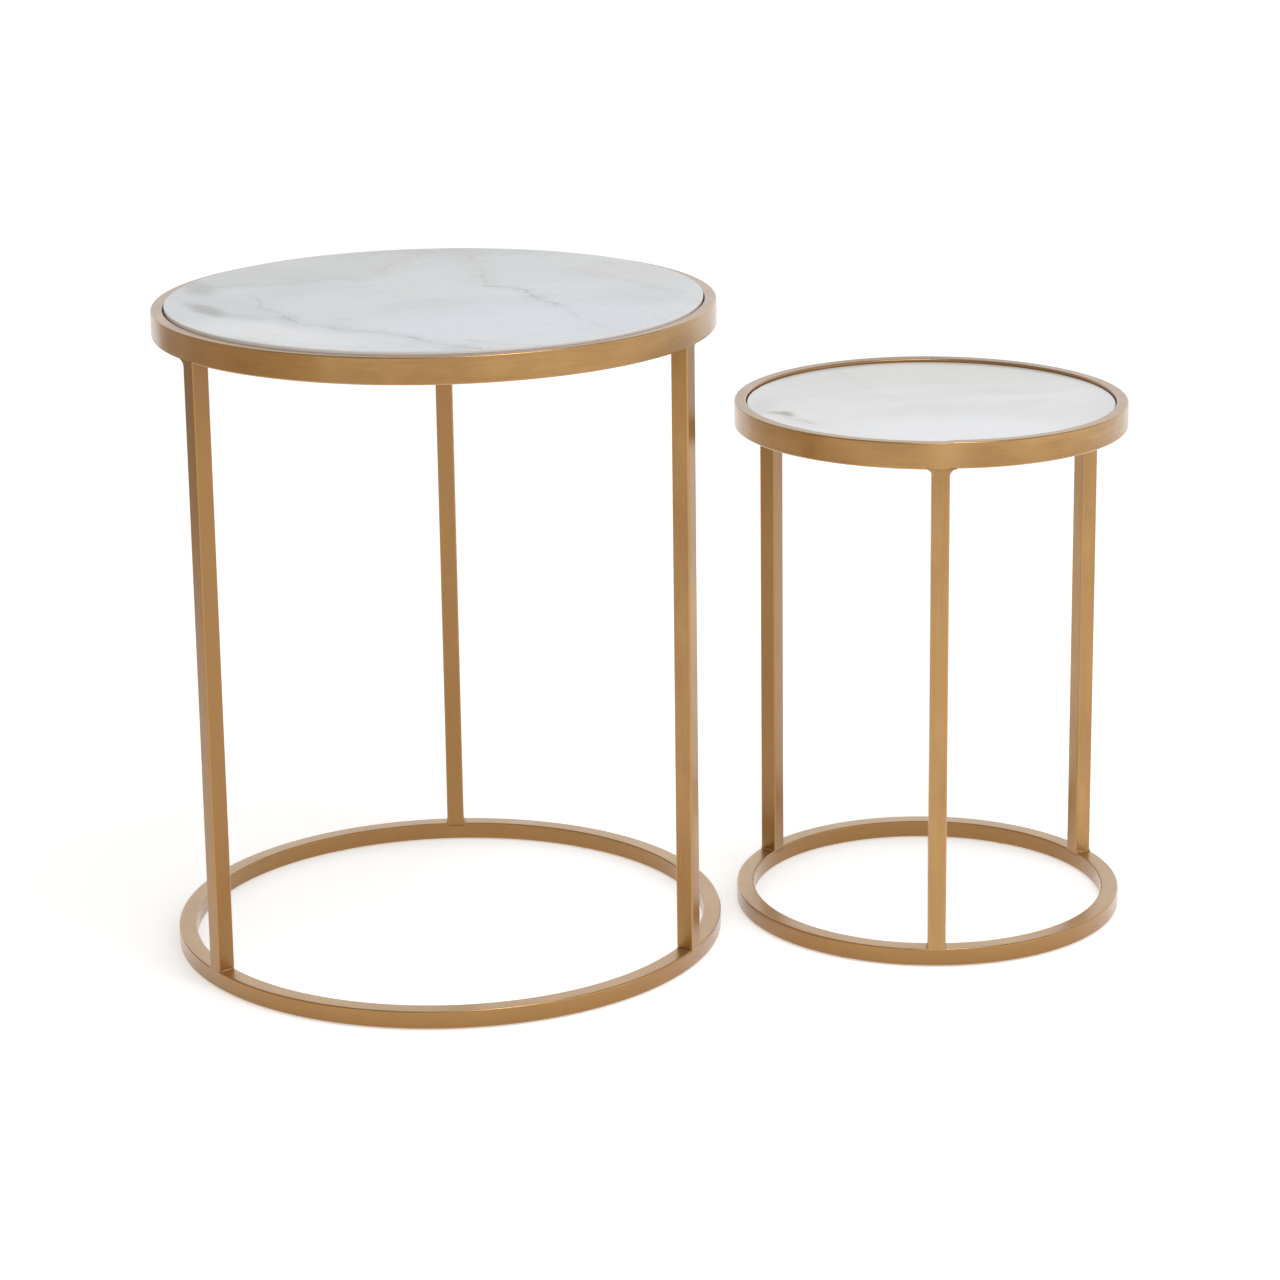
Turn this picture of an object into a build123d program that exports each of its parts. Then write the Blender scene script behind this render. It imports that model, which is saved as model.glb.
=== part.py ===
"""Pair of round nesting tables: welded tube frames that carry loose marble tops.

Millimetres, +Z up. The origin is on the floor at the middle of the rectangle that the two
tables cover together. +X runs from the large table towards the small one, +Y is the rear.
"""

from build123d import *
import os
from dataclasses import dataclass
from math import cos, radians, sin, sqrt

# Square tube of the legs and the base hoops
TUBE = 15.0
TUBE_CORNER = 1.5
TUBE_WALL = 1.2
BORE_CORNER = TUBE_CORNER - TUBE_WALL

# Flat tube of the top hoops
RIM_HEIGHT = 22.0
RIM_WIDTH = 10.0

# Legs stand just inside the hoops' outer faces, so that their flat faces stay within the curve
LEG_SETBACK = 0.2

# Where the small table's axis stands, measured from the large one's
TABLE_OFFSET_X = 414.5
TABLE_OFFSET_Y = 56.5
LARGE_RADIUS = 232.5
SMALL_RADIUS = 166.5
HALF_WIDTH_OF_SET = (LARGE_RADIUS + TABLE_OFFSET_X + SMALL_RADIUS) / 2

# Lugs inside the top hoop, over each leg, flush with the hoop's underside
TAB_THICKNESS = 3.0
TAB_REACH = 28.0
TAB_WIDTH = 26.0
TAB_CORNER = 6.0

# Silicone dots on the lugs
BUMPER_RADIUS = 5.0
BUMPER_THICKNESS = 1.5

# Loose slabs
SLAB_GAP = 1.3
SLAB_EASE = 0.8

# Felt glides under the base hoop
GLIDE_COUNT = 6
GLIDE_RADIUS = 5.0
GLIDE_THICKNESS = 1.0

# Ground weld beads: size of the fillet, and how far each bead stops short of the tube's corners
TOP_WELD = 6.0
FOOT_WELD = 2.0
WELD_INSET = 1.8


@dataclass
class Table:
    """One table's own sizes: its axis, outline and slab, and each leg's direction from the axis.

    The legs were set by hand, so their directions are a few degrees off an even 120 apart.
    """

    name: str
    x: float
    y: float
    radius: float
    height: float
    slab_thickness: float
    leg_angles: dict

    @property
    def rim_base(self):
        """Height of the top hoop's underside."""
        return self.height - RIM_HEIGHT

    @property
    def foot_top(self):
        """Height of the base hoop's upper face."""
        return GLIDE_THICKNESS + TUBE

    @property
    def leg_radius(self):
        """Distance from the table's axis to each leg's centreline."""
        return self.radius - LEG_SETBACK - TUBE / 2

    @property
    def rim_inner_radius(self):
        """Radius of the top hoop's inner face."""
        return self.radius - RIM_WIDTH


LARGE = Table(
    name="large",
    x=LARGE_RADIUS - HALF_WIDTH_OF_SET,
    y=0.0,
    radius=LARGE_RADIUS,
    height=550.0,
    slab_thickness=20.0,
    leg_angles={"leg_rear": 92.0, "leg_front_left": -144.0, "leg_front_right": -25.0},
)
SMALL = Table(
    name="small",
    x=HALF_WIDTH_OF_SET - SMALL_RADIUS,
    y=TABLE_OFFSET_Y,
    radius=SMALL_RADIUS,
    height=449.0,
    slab_thickness=15.0,
    leg_angles={"leg_front": -91.5, "leg_rear_right": 27.0, "leg_rear_left": 146.5},
)


def level_plane(table, z):
    """A horizontal plane at height z, centred on the table's axis."""
    return Plane(origin=(table.x, table.y, z))


def radial_plane(table, angle, z):
    """A horizontal plane on the table's axis, with its x axis pointing at the given angle."""
    direction = (cos(radians(angle)), sin(radians(angle)), 0)
    return Plane(origin=(table.x, table.y, z), x_dir=direction, z_dir=(0, 0, 1))


def save(piece, table, name):
    """Label a finished piece and write it to its own file."""
    piece.part.label = f"{table.name}_{name}"
    export_step(piece.part, f"parts/{piece.part.label}.step")


def make_hoop(table, width, height, base):
    """A ring of rectangular tube with its outer face at the table's radius."""
    profile_plane = Plane(origin=(table.x, table.y, base), x_dir=(1, 0, 0), z_dir=(0, -1, 0))
    with BuildPart() as hoop:
        with BuildSketch(profile_plane):
            with Locations((table.radius - width / 2, height / 2)):
                RectangleRounded(width, height, TUBE_CORNER)
                RectangleRounded(
                    width - 2 * TUBE_WALL, height - 2 * TUBE_WALL, BORE_CORNER, mode=Mode.SUBTRACT
                )
        revolve(axis=Axis((table.x, table.y, 0), (0, 0, 1)))
    return hoop


def make_leg(table, angle):
    """An upright square tube from the base hoop's upper face to the top hoop's underside."""
    with BuildPart() as leg:
        with BuildSketch(radial_plane(table, angle, table.foot_top)):
            with Locations((table.leg_radius, 0)):
                RectangleRounded(TUBE, TUBE, TUBE_CORNER)
                RectangleRounded(
                    TUBE - 2 * TUBE_WALL, TUBE - 2 * TUBE_WALL, BORE_CORNER, mode=Mode.SUBTRACT
                )
        extrude(amount=table.rim_base - table.foot_top)
    return leg


def make_marble_top(table):
    """A round slab that drops inside the top hoop and rests on the silicone dots."""
    seat = table.rim_base + TAB_THICKNESS + BUMPER_THICKNESS
    with BuildPart() as marble_top:
        with BuildSketch(level_plane(table, seat)):
            Circle(table.rim_inner_radius - SLAB_GAP)
        extrude(amount=table.slab_thickness)
        chamfer(marble_top.edges().filter_by(GeomType.CIRCLE), SLAB_EASE)
    return marble_top


def make_support_tabs(table):
    """Flat lugs that reach inwards from the top hoop, one over each leg."""
    with BuildPart() as support_tabs:
        for angle in table.leg_angles.values():
            with BuildSketch(radial_plane(table, angle, table.rim_base)):
                with Locations((table.rim_inner_radius, 0)):
                    RectangleRounded(2 * TAB_REACH, TAB_WIDTH, TAB_CORNER)
                Circle(table.rim_inner_radius, mode=Mode.INTERSECT)
            extrude(amount=TAB_THICKNESS)
    return support_tabs


def make_bumpers(table):
    """Silicone dots in the middle of the lugs."""
    with BuildPart() as bumpers:
        for angle in table.leg_angles.values():
            with BuildSketch(radial_plane(table, angle, table.rim_base + TAB_THICKNESS)):
                with Locations((table.rim_inner_radius - TAB_REACH / 2, 0)):
                    Circle(BUMPER_RADIUS)
            extrude(amount=BUMPER_THICKNESS)
    return bumpers


def make_glides(table):
    """Thin felt discs, evenly spaced under the base hoop."""
    with BuildPart() as glides:
        with BuildSketch(level_plane(table, 0)):
            with PolarLocations(table.radius - TUBE / 2, GLIDE_COUNT):
                Circle(GLIDE_RADIUS)
        extrude(amount=GLIDE_THICKNESS)
    return glides


def concave_bead(half_gap, size):
    """Profile of one weld bead in the corner at (half_gap, 0), hanging below y = 0."""
    reach = size - size / sqrt(2)
    with BuildSketch(mode=Mode.PRIVATE) as bead:
        with BuildLine():
            Line((half_gap, -size), (half_gap, 0))
            Line((half_gap, 0), (half_gap + size, 0))
            ThreePointArc((half_gap + size, 0), (half_gap + reach, -reach), (half_gap, -size))
        make_face()
    return bead.sketch


def make_top_welds(table):
    """Beads under the top hoop on both sides of each leg, and under the lug behind it."""
    side_start = table.rim_inner_radius + WELD_INSET
    side_length = RIM_WIDTH - 2 * WELD_INSET
    back_length = TUBE - 2 * WELD_INSET
    side_bead = concave_bead(TUBE / 2, TOP_WELD)
    back_bead = concave_bead(0, TOP_WELD)
    with BuildPart() as top_welds:
        for angle in table.leg_angles.values():
            level = radial_plane(table, angle, table.rim_base)
            side_plane = Plane(
                origin=level.from_local_coords((side_start, 0, 0)), x_dir=level.y_dir, z_dir=level.x_dir
            )
            with BuildSketch(side_plane):
                add(side_bead)
                mirror(about=Plane.YZ)
            extrude(amount=side_length)
            back_plane = Plane(
                origin=level.from_local_coords((table.leg_radius - TUBE / 2, -back_length / 2, 0)),
                x_dir=-level.x_dir,
                z_dir=level.y_dir,
            )
            with BuildSketch(back_plane):
                add(back_bead)
            extrude(amount=back_length)
    return top_welds


def make_base_welds(table):
    """Small beads on the base hoop's upper face, on both sides of each leg."""
    outer_end = table.leg_radius + TUBE / 2 - WELD_INSET
    length = TUBE - 2 * WELD_INSET
    bead = concave_bead(TUBE / 2, FOOT_WELD)
    with BuildPart() as base_welds:
        for angle in table.leg_angles.values():
            level = radial_plane(table, angle, table.foot_top)
            upright_plane = Plane(
                origin=level.from_local_coords((outer_end, 0, 0)), x_dir=level.y_dir, z_dir=-level.x_dir
            )
            with BuildSketch(upright_plane):
                add(bead)
                mirror(about=Plane.YZ)
            extrude(amount=length)
    return base_welds


os.makedirs("parts", exist_ok=True)

for table in (LARGE, SMALL):
    save(make_hoop(table, RIM_WIDTH, RIM_HEIGHT, table.rim_base), table, "top_hoop")
    save(make_hoop(table, TUBE, TUBE, GLIDE_THICKNESS), table, "base_hoop")
    for leg_name, leg_angle in table.leg_angles.items():
        save(make_leg(table, leg_angle), table, leg_name)
    save(make_marble_top(table), table, "marble_top")
    save(make_support_tabs(table), table, "support_tabs")
    save(make_bumpers(table), table, "bumpers")
    save(make_glides(table), table, "glides")
    save(make_top_welds(table), table, "top_welds")
    save(make_base_welds(table), table, "base_welds")
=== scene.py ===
"""Looks for a pair of nesting tables: satin gold tube frames under white marble slabs.

Metres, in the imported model's frame. Each CAD node is replaced by a finer mesh made here, whose
place and size are measured from that node. Every mesh rides on the body its node belongs to.
"""

from math import atan2, cos, hypot, pi, radians, sin, sqrt

import bpy
import numpy as np
from mathutils import Matrix, Vector, noise


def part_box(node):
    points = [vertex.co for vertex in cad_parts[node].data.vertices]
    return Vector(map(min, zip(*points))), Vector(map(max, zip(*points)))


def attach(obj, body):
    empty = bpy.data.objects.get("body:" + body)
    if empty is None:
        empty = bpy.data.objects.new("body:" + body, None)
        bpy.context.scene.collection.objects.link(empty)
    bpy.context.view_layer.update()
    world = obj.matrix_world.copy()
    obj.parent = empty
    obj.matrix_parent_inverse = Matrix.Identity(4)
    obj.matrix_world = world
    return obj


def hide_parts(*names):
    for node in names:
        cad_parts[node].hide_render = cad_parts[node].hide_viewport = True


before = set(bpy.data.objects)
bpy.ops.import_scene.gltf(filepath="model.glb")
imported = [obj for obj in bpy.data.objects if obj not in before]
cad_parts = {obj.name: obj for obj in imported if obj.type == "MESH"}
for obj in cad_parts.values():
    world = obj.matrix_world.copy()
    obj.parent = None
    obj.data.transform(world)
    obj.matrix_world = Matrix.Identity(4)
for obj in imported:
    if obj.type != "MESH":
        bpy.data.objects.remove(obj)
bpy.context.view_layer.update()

MM = 0.001

# Frame tubes, and how finely their corners and rings are divided
TUBE_CORNER = 1.5 * MM
CORNER_STEPS = 5
RING_SEGMENTS = 288

# Ring of each hoop: how far rolling strays from a true circle, how long the step at its butt joint
# takes to fade out, and how far and how deep the joint was ground
RING_STRAY = 0.12 * MM
SEAM_REACH = 45 * MM
GRIND_REACH = 9 * MM
GRIND_DEPTH = 0.12 * MM

# How far the legs run on inside the hoops, how proud the ground joints stand of the hoops, how far
# the legs stand back from them between the joints, and how far past its fillets a joint fades out
JOINT_OVERLAP = 2.4 * MM
JOINT_PROUD = 0.05 * MM
LEG_SETBACK = 0.15 * MM
JOINT_FADE = 1.5 * MM
JOINT_STEPS = 12

# Weld beads: radii of the bead behind a leg's top, of the one beside a leg with hardly any fillet,
# and of the one beside a lug, how far apart a bead's ripples are, and how finely it is divided
BACK_BEAD = 2.0 * MM
THIN_BEAD = 0.8 * MM
TAB_BEAD = 1.4 * MM
FOOT_BEAD = 0.5 * MM
BEAD_RIPPLE = 1.6 * MM
BEAD_SIDES = 12
BEAD_ASIDE = 0.1 * MM
THIN_FILLET = 1 * MM

# Support tabs, dots and glides
TAB_REACH = 28 * MM
TAB_WIDTH = 26 * MM
TAB_CORNER = 6 * MM
BUMPER_RADIUS = 5 * MM
GLIDE_RADIUS = 5 * MM
GLIDE_COUNT = 6

# Marble slabs, which fill a little more of the hoop than the CAD solid does
SLAB_ARRIS = 0.6 * MM
SLAB_SWELL = 0.5 * MM

# Size of the ground fillet on each side of a leg: (clockwise side, anticlockwise side) seen from above
TOP_FILLETS = {
    "large_leg_front_left": (4.5 * MM, 0.8 * MM),
    "large_leg_front_right": (0.8 * MM, 0.8 * MM),
    "large_leg_rear": (1.5 * MM, 1.5 * MM),
    "small_leg_front": (5.0 * MM, 6.0 * MM),
    "small_leg_rear_right": (2.0 * MM, 2.0 * MM),
    "small_leg_rear_left": (2.0 * MM, 2.0 * MM),
}
FOOT_FILLETS = {
    "large_leg_front_left": (0.6 * MM, 0.6 * MM),
    "large_leg_front_right": (0.6 * MM, 0.6 * MM),
    "large_leg_rear": (1.8 * MM, 0.6 * MM),
    "small_leg_front": (1.0 * MM, 0.5 * MM),
    "small_leg_rear_right": (2.2 * MM, 0.6 * MM),
    "small_leg_rear_left": (0.6 * MM, 0.6 * MM),
}
# How much paler (above 0, a painted highlight) or darker (below 0) the weld bead is on each side of a leg, at
# both its ends
BEAD_TONES = {
    "large_leg_front_left": (0.0, 1.2),
    "large_leg_front_right": (-2.2, -0.5),
    "large_leg_rear": (0.0, 0.0),
    "small_leg_front": (0.3, 0.3),
    "small_leg_rear_right": (0.0, 0.0),
    "small_leg_rear_left": (-0.5, 0.0),
}

# Painted highlight on the top hoop over each leg, where the ground weld catches the light: its middle's
# offset anticlockwise from the leg, its half-length, and how much paler it is painted
WELD_HIGHLIGHTS = {
    "large_leg_front_left": (-6 * MM, 16 * MM, 0.5),
    "large_leg_front_right": (14 * MM, 24 * MM, 0.9),
    "large_leg_rear": (0, 12 * MM, 0.4),
    "small_leg_front": (5 * MM, 16 * MM, 1.1),
    "small_leg_rear_right": (0, 12 * MM, 0.4),
    "small_leg_rear_left": (0, 12 * MM, 0.4),
}
# How much deeper (below 0) or paler (above 0) each leg is painted: painted shade on the darker legs, painted
# light on the paler one
LEG_PAINTED_SHADE_AND_LIGHT = {
    "large_leg_front_left": -1.0,
    "large_leg_front_right": -0.1,
    "large_leg_rear": -0.9,
    "small_leg_front": 0.35,
    "small_leg_rear_right": -0.1,
    "small_leg_rear_left": -1.0,
}
# The same painted shade (below 0) and painted light (above 0) for the hoops' inner and upper faces and the
# base hoops' outer face, how much paler an outer face is painted from its bottom to its top, and how much and
# how far painted shade darkens the legs under the hoop
INNER_FACE_SHADE = -0.9
UPPER_FACE_PAINTED_LIGHT = {"top_hoop": -0.6, "base_hoop": 1.1}
BASE_HOOP_SHADE = -0.9
FACE_LIGHT_RISE = 0.5
LEG_TOP_SHADE_DEPTH = -0.3
LEG_TOP_SHADE = 35 * MM


# ---------------------------------------------------------------- measuring the frame


class Table:
    """One table, measured from its CAD nodes."""

    def __init__(self, name):
        self.name = name
        low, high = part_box(f"{name}_top_hoop")
        self.axis = (low + high).to_2d() / 2
        self.radius = (high.x - low.x) / 2
        self.height = high.z
        self.rim_base = low.z
        self.rim_inner_radius = self.nearest_to_axis(f"{name}_top_hoop")
        low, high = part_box(f"{name}_base_hoop")
        self.foot_base = low.z
        self.foot_top = high.z
        self.tube = high.z - low.z
        self.legs = sorted(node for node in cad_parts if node.startswith(f"{name}_leg_"))

    def nearest_to_axis(self, node):
        """Smallest distance of a node's skin from the table's axis."""
        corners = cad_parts[node].data.vertices
        return min((vertex.co.to_2d() - self.axis).length for vertex in corners)

    def leg_angle(self, leg):
        """Direction of a leg from the table's axis."""
        low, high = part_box(leg)
        offset = (low + high).to_2d() / 2 - self.axis
        return atan2(offset.y, offset.x)

    def place(self, angle, distance, aside, z):
        """A point given by direction and distance from the axis, and how far aside of that line."""
        outwards = Vector((cos(angle), sin(angle)))
        sideways = Vector((-sin(angle), cos(angle)))
        flat = self.axis + outwards * distance + sideways * aside
        return (flat.x, flat.y, z)


# ---------------------------------------------------------------- mesh helpers


def add_mesh(name, vertices, faces, material, body, node, slot, **per_vertex):
    """Make a piece from vertices and faces, give it its material and body, and hide its CAD node; the slot is
    not used.

    Each further argument is a list of one number a vertex, which the materials read by its name.
    """
    mesh = bpy.data.meshes.new(name)
    mesh.from_pydata([tuple(v) for v in vertices], [], faces)
    mesh.validate()
    for attribute_name, values in per_vertex.items():
        attribute = mesh.attributes.new(attribute_name, "FLOAT", "POINT")
        attribute.data.foreach_set("value", np.array(values, np.float32))
    mesh.shade_smooth()
    piece = bpy.data.objects.new(name, mesh)
    bpy.context.scene.collection.objects.link(piece)
    normals = piece.modifiers.new("even normals", "WEIGHTED_NORMAL")
    normals.weight = 100
    mesh.materials.append(material)
    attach(piece, body)
    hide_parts(node)
    return piece


def rounded_rectangle(width, height, corner):
    """Anticlockwise (x, y, facing, ridge share) round a rectangle centred on zero.

    Facing is the direction that the skin looks in, in radians, and the ridge share is 1 on a corner's ridge;
    the gold paints that ridge paler, partly for wear and partly as a painted highlight.
    """
    points = []
    for number, (side_x, side_y) in enumerate(((1, 1), (-1, 1), (-1, -1), (1, -1))):
        centre_x = side_x * (width / 2 - corner)
        centre_y = side_y * (height / 2 - corner)
        for step in range(CORNER_STEPS + 1):
            facing = (number + step / CORNER_STEPS) * pi / 2
            x = centre_x + corner * cos(facing)
            y = centre_y + corner * sin(facing)
            points.append((x, y, facing, sin(pi * step / CORNER_STEPS)))
    return points


def skin(loop_count, loop_size, closed_round):
    """Quads that join successive loops of points, and the first to the last when closed_round."""
    faces = []
    for loop in range(loop_count if closed_round else loop_count - 1):
        here = loop * loop_size
        there = (loop + 1) % loop_count * loop_size
        for k in range(loop_size):
            following = (k + 1) % loop_size
            faces.append((here + k, there + k, there + following, here + following))
    return faces


def revolve_disc(outline, segments):
    """Vertices and faces of a closed disc from (radius, z) points that start and end on the axis."""
    vertices = [(0, 0, outline[0][1])]
    for radius, z in outline[1:-1]:
        for k in range(segments):
            angle = 2 * pi * k / segments
            vertices.append((radius * cos(angle), radius * sin(angle), z))
    vertices.append((0, 0, outline[-1][1]))
    ring_count = len(outline) - 2
    faces = [(0, 1 + (k + 1) % segments, 1 + k) for k in range(segments)]
    for ring in range(ring_count - 1):
        here = 1 + ring * segments
        for k in range(segments):
            following = (k + 1) % segments
            faces.append((here + k, here + following, here + segments + following, here + segments + k))
    last = 1 + (ring_count - 1) * segments
    tip = len(vertices) - 1
    faces += [(last + k, last + (k + 1) % segments, tip) for k in range(segments)]
    return vertices, faces


def arc(centre, radius, start, end, steps):
    """Points along an arc between two angles in degrees."""
    angles = [radians(start + (end - start) * step / steps) for step in range(steps + 1)]
    return [(centre[0] + radius * cos(a), centre[1] + radius * sin(a)) for a in angles]


def smooth_step(value):
    """A soft ramp from 0 to 1."""
    value = min(max(value, 0.0), 1.0)
    return value * value * (3 - 2 * value)


# ---------------------------------------------------------------- frame pieces


def rolling_error(angle, seed):
    """How far a hand-rolled hoop strays from a true circle at an angle, from -1 to 1."""
    return 0.6 * sin(2 * angle + seed) + 0.3 * sin(5 * angle + 2.3 * seed) + 0.1 * sin(11 * angle + seed)


def weld_highlight(table, angle):
    """How much paler the hoop's face is painted at an angle: a painted highlight where the ground welds over
    the legs catch the light.
    """
    share = 0.0
    for leg in table.legs:
        offset, reach, strength = WELD_HIGHLIGHTS[leg]
        distance = ((angle - table.leg_angle(leg) + pi) % (2 * pi) - pi) * table.radius - offset
        share += strength * np.exp(-((distance / reach) ** 2))
    return share


def make_hoop(table, part, width, bottom, top, seam_angle, seam_step, twist, material):
    """A rolled tube ring with its ground butt joint at seam_angle, where one end sits seam_step higher.

    Towards the rear its outer top corner stands up by the twist that rolling left in the tube, and by the
    same twist its upper face there is painted darker, as painted shade.
    """
    outline = rounded_rectangle(width, top - bottom, TUBE_CORNER)
    middle_radius = table.radius - width / 2
    middle_z = (top + bottom) / 2
    vertices = []
    tones = []
    for segment in range(RING_SEGMENTS):
        angle = 2 * pi * segment / RING_SEGMENTS
        # Painted highlight over the legs on the top hoop, painted shade on the base hoop's outer face
        patch = weld_highlight(table, angle) if part == "top_hoop" else BASE_HOOP_SHADE
        from_seam = (angle - seam_angle + pi) % (2 * pi) - pi
        distance = from_seam * table.radius
        side = smooth_step(distance / GRIND_REACH + 0.5) - 0.5
        lift = seam_step * side * np.exp(-abs(distance) / SEAM_REACH)
        hollow = GRIND_DEPTH * np.exp(-((distance / GRIND_REACH) ** 2))
        strayed = RING_STRAY * rolling_error(angle, middle_z * 50)
        rear = max(sin(angle), 0.0) ** 2
        for x, z, facing, wear_and_glint in outline:
            outwards = max(cos(facing), 0.0)
            inwards = max(-cos(facing), 0.0)
            upwards = max(sin(facing), 0.0)
            distance_out = middle_radius + x + strayed - hollow * outwards
            rise = z / (top - bottom)
            tipped = twist * rear * (rise + 0.5) * (x / width + 0.5)
            vertices.append(table.place(angle, distance_out, 0, middle_z + z + lift + tipped))
            # Painted light and shade by face: paler up each outer face, darker on the inner faces, the upper
            # faces lighter or darker by hoop, and darker towards the rear by the twist
            tone = outwards * (patch + FACE_LIGHT_RISE * rise)
            tone += inwards * INNER_FACE_SHADE + upwards * UPPER_FACE_PAINTED_LIGHT[part]
            tones.append(tone - upwards * rear * twist / MM)
    faces = skin(RING_SEGMENTS, len(outline), True)
    node = f"{table.name}_{part}"
    return add_mesh(
        f"{node}_skin", vertices, faces, material, f"{table.name}_frame", node, "gold_frame",
        edge_wear=[wear_and_glint for x, z, facing, wear_and_glint in outline] * RING_SEGMENTS, tone=tones,
    )


def fillet_width(size, away):
    """How far a concave fillet of that size stands out at a distance from the face it runs into."""
    if away >= size:
        return 0.0
    return size - sqrt(size * size - (size - away) ** 2)


def make_leg(table, leg, material):
    """A square tube whose ends flare into ground fillets and run flush into both hoops."""
    angle = table.leg_angle(leg)
    outline = rounded_rectangle(table.tube, table.tube, TUBE_CORNER)
    top_sides = TOP_FILLETS[leg]
    foot_sides = FOOT_FILLETS[leg]
    span = table.rim_base - table.foot_top
    foot_reach = max(foot_sides) + JOINT_FADE
    top_reach = max(top_sides) + JOINT_FADE
    rises = [-JOINT_OVERLAP, -JOINT_OVERLAP * 0.6]
    rises += [foot_reach * (step / JOINT_STEPS) ** 2 for step in range(JOINT_STEPS + 1)]
    rises += [span * share for share in (0.1, 0.25, 0.4, 0.55, 0.7, 0.85)]
    rises += [span - top_reach * (1 - step / JOINT_STEPS) ** 2 for step in range(JOINT_STEPS + 1)]
    rises += [span + JOINT_OVERLAP * 0.6, span + JOINT_OVERLAP]
    vertices = []
    tones = []
    for rise in rises:
        from_foot = max(rise, 0.0)
        from_top = max(span - rise, 0.0)
        in_joint = max(1 - from_foot / foot_reach, 1 - from_top / top_reach, 0)
        proud = -LEG_SETBACK + (LEG_SETBACK + JOINT_PROUD) * smooth_step(in_joint)
        # The two ends are buried in the hoops, so they draw back from the hoops' outer faces
        if rise in (rises[0], rises[-1]):
            proud = -4 * LEG_SETBACK
        outer_radius = table.radius + proud
        # Painted shade on the legs, set by leg and deepest just under the top hoop
        tones += [LEG_PAINTED_SHADE_AND_LIGHT[leg] + LEG_TOP_SHADE_DEPTH * np.exp(-from_top / LEG_TOP_SHADE)] * len(outline)
        for x, aside, facing, wear_and_glint in outline:
            side = 0 if aside < 0 else 1
            flare = fillet_width(top_sides[side], from_top) + fillet_width(foot_sides[side], from_foot)
            aside += flare if side else -flare
            reach = sqrt(outer_radius ** 2 - aside ** 2) - (table.tube / 2 - x)
            vertices.append(table.place(angle, reach, aside, table.foot_top + rise))
    size = len(outline)
    faces = skin(len(rises), size, False)
    faces = [face[::-1] for face in faces]
    faces.append(tuple(range(size))[::-1])
    faces.append(tuple(range(len(vertices) - size, len(vertices))))
    return add_mesh(
        f"{leg}_skin", vertices, faces, material, f"{table.name}_frame", leg, "gold_frame",
        edge_wear=[wear_and_glint for x, aside, facing, wear_and_glint in outline] * len(rises), tone=tones,
    )


def weld_bead(start, end, radius, seed):
    """Vertices and faces of a lumpy bead between two points, with the ripples of a hand weld."""
    start = Vector(start)
    end = Vector(end)
    run = end - start
    along = run.normalized()
    across = along.orthogonal().normalized()
    over = along.cross(across)
    ripples = max(3, round(run.length / BEAD_RIPPLE))
    stations = ripples * 4
    vertices = []
    for station in range(stations + 1):
        share = station / stations
        taper = sqrt(max(0.04, 1 - (2 * share - 1) ** 4))
        ripple = 1 + 0.10 * abs(sin(pi * share * ripples))
        centre = start + run * share
        for side in range(BEAD_SIDES):
            turn = 2 * pi * side / BEAD_SIDES
            push = across * cos(turn) + over * sin(turn)
            lump = 1 + 0.12 * noise.noise((centre + push * radius) * 400 + Vector((seed, 0, 0)))
            vertices.append(centre + push * radius * taper * ripple * lump)
    faces = skin(stations + 1, BEAD_SIDES, False)
    faces.append(tuple(range(BEAD_SIDES))[::-1])
    faces.append(tuple(range(len(vertices) - BEAD_SIDES, len(vertices))))
    return vertices, faces


def join_shapes(shapes):
    """Put several vertex and face lists into one."""
    vertices = []
    faces = []
    for more_vertices, more_faces in shapes:
        offset = len(vertices)
        vertices += list(more_vertices)
        faces += [tuple(index + offset for index in face) for face in more_faces]
    return vertices, faces


def make_top_welds(table, material):
    """A bead behind each leg's top, one beside it where its fillet is thin, and beads along both sides of its
    lug against the hoop.
    """
    shapes = []
    tones = []
    for number, leg in enumerate(table.legs):
        angle = table.leg_angle(leg)
        back = table.radius - LEG_SETBACK - table.tube
        half = table.tube / 2 - 1.5 * MM
        start = table.place(angle, back, -half, table.rim_base)
        end = table.place(angle, back, half, table.rim_base)
        shapes.append(weld_bead(start, end, BACK_BEAD, number))
        tones += [0.0] * len(shapes[-1][0])
        # Side beads carry their painted highlight or darkening
        for side, size, tone in zip((-1, 1), TOP_FILLETS[leg], BEAD_TONES[leg]):
            if size < THIN_FILLET:
                aside = side * (table.tube / 2 + BEAD_ASIDE)
                near = table.place(angle, table.rim_inner_radius + 1.5 * MM, aside, table.rim_base)
                far = table.place(angle, table.radius - 2.5 * MM, aside, table.rim_base)
                shapes.append(weld_bead(near, far, THIN_BEAD, 30 + number + side))
                tones += [tone] * len(shapes[-1][0])
        tab_edge = table.rim_inner_radius - 0.4 * MM
        for side in (-1, 1):
            aside = side * (TAB_WIDTH / 2 + 2 * BEAD_ASIDE)
            near = table.place(angle, tab_edge, aside, table.rim_base + 0.6 * MM)
            far = table.place(angle, tab_edge, aside, table.rim_base + 3.2 * MM)
            shapes.append(weld_bead(near, far, TAB_BEAD, 10 + number + side))
            tones += [0.0] * len(shapes[-1][0])
    vertices, faces = join_shapes(shapes)
    node = f"{table.name}_top_welds"
    return add_mesh(
        f"{node}_beads", vertices, faces, material, f"{table.name}_frame", node, "gold_frame", tone=tones,
    )


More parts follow.
